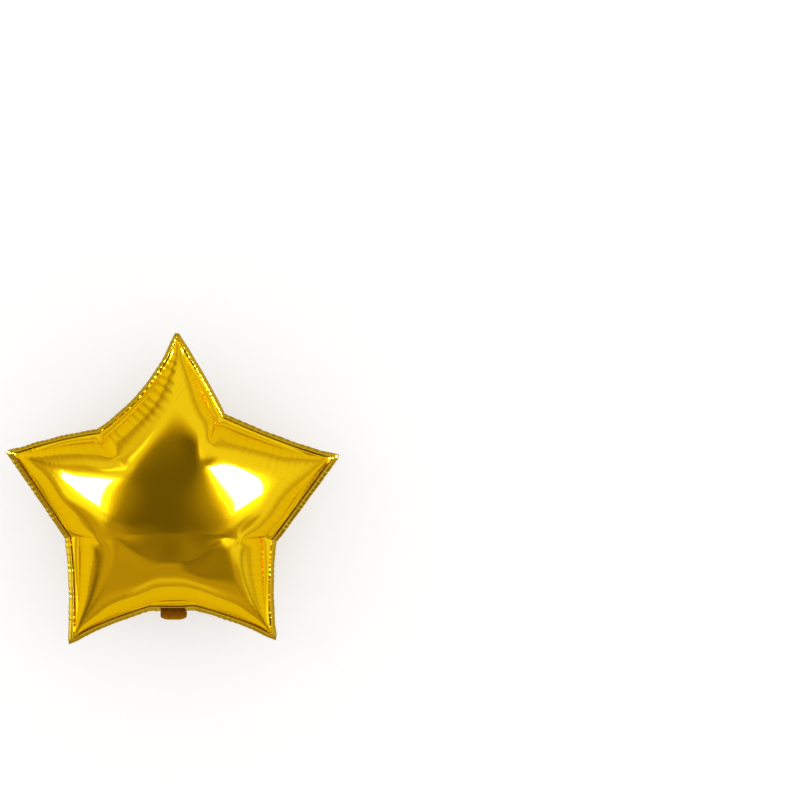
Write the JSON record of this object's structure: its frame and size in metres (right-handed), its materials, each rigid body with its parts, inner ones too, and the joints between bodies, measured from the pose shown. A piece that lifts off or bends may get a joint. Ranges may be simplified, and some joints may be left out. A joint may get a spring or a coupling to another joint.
{
  "type": "star foil balloon",
  "caption": "Five-pointed star balloon of shiny gold foil, blown up tight, with a gathered welded seam and a short neck folded back.",
  "frame": {"origin": "middle of the bounding box in X and Y, at the level the back crown rests on", "axes": "+Z out of the front panel, +Y towards the star's upper tip, +X towards its right side tip; the neck is at the lower notch, towards -Y"},
  "size_m": [0.3978, 0.372, 0.163],
  "materials": {
    "gold_foil": "mirror-bright gold lacquer on metallised plastic film"
  },
  "bodies": {
    "root": {"star_balloon": "gold_foil"}
  },
  "joints": []
}
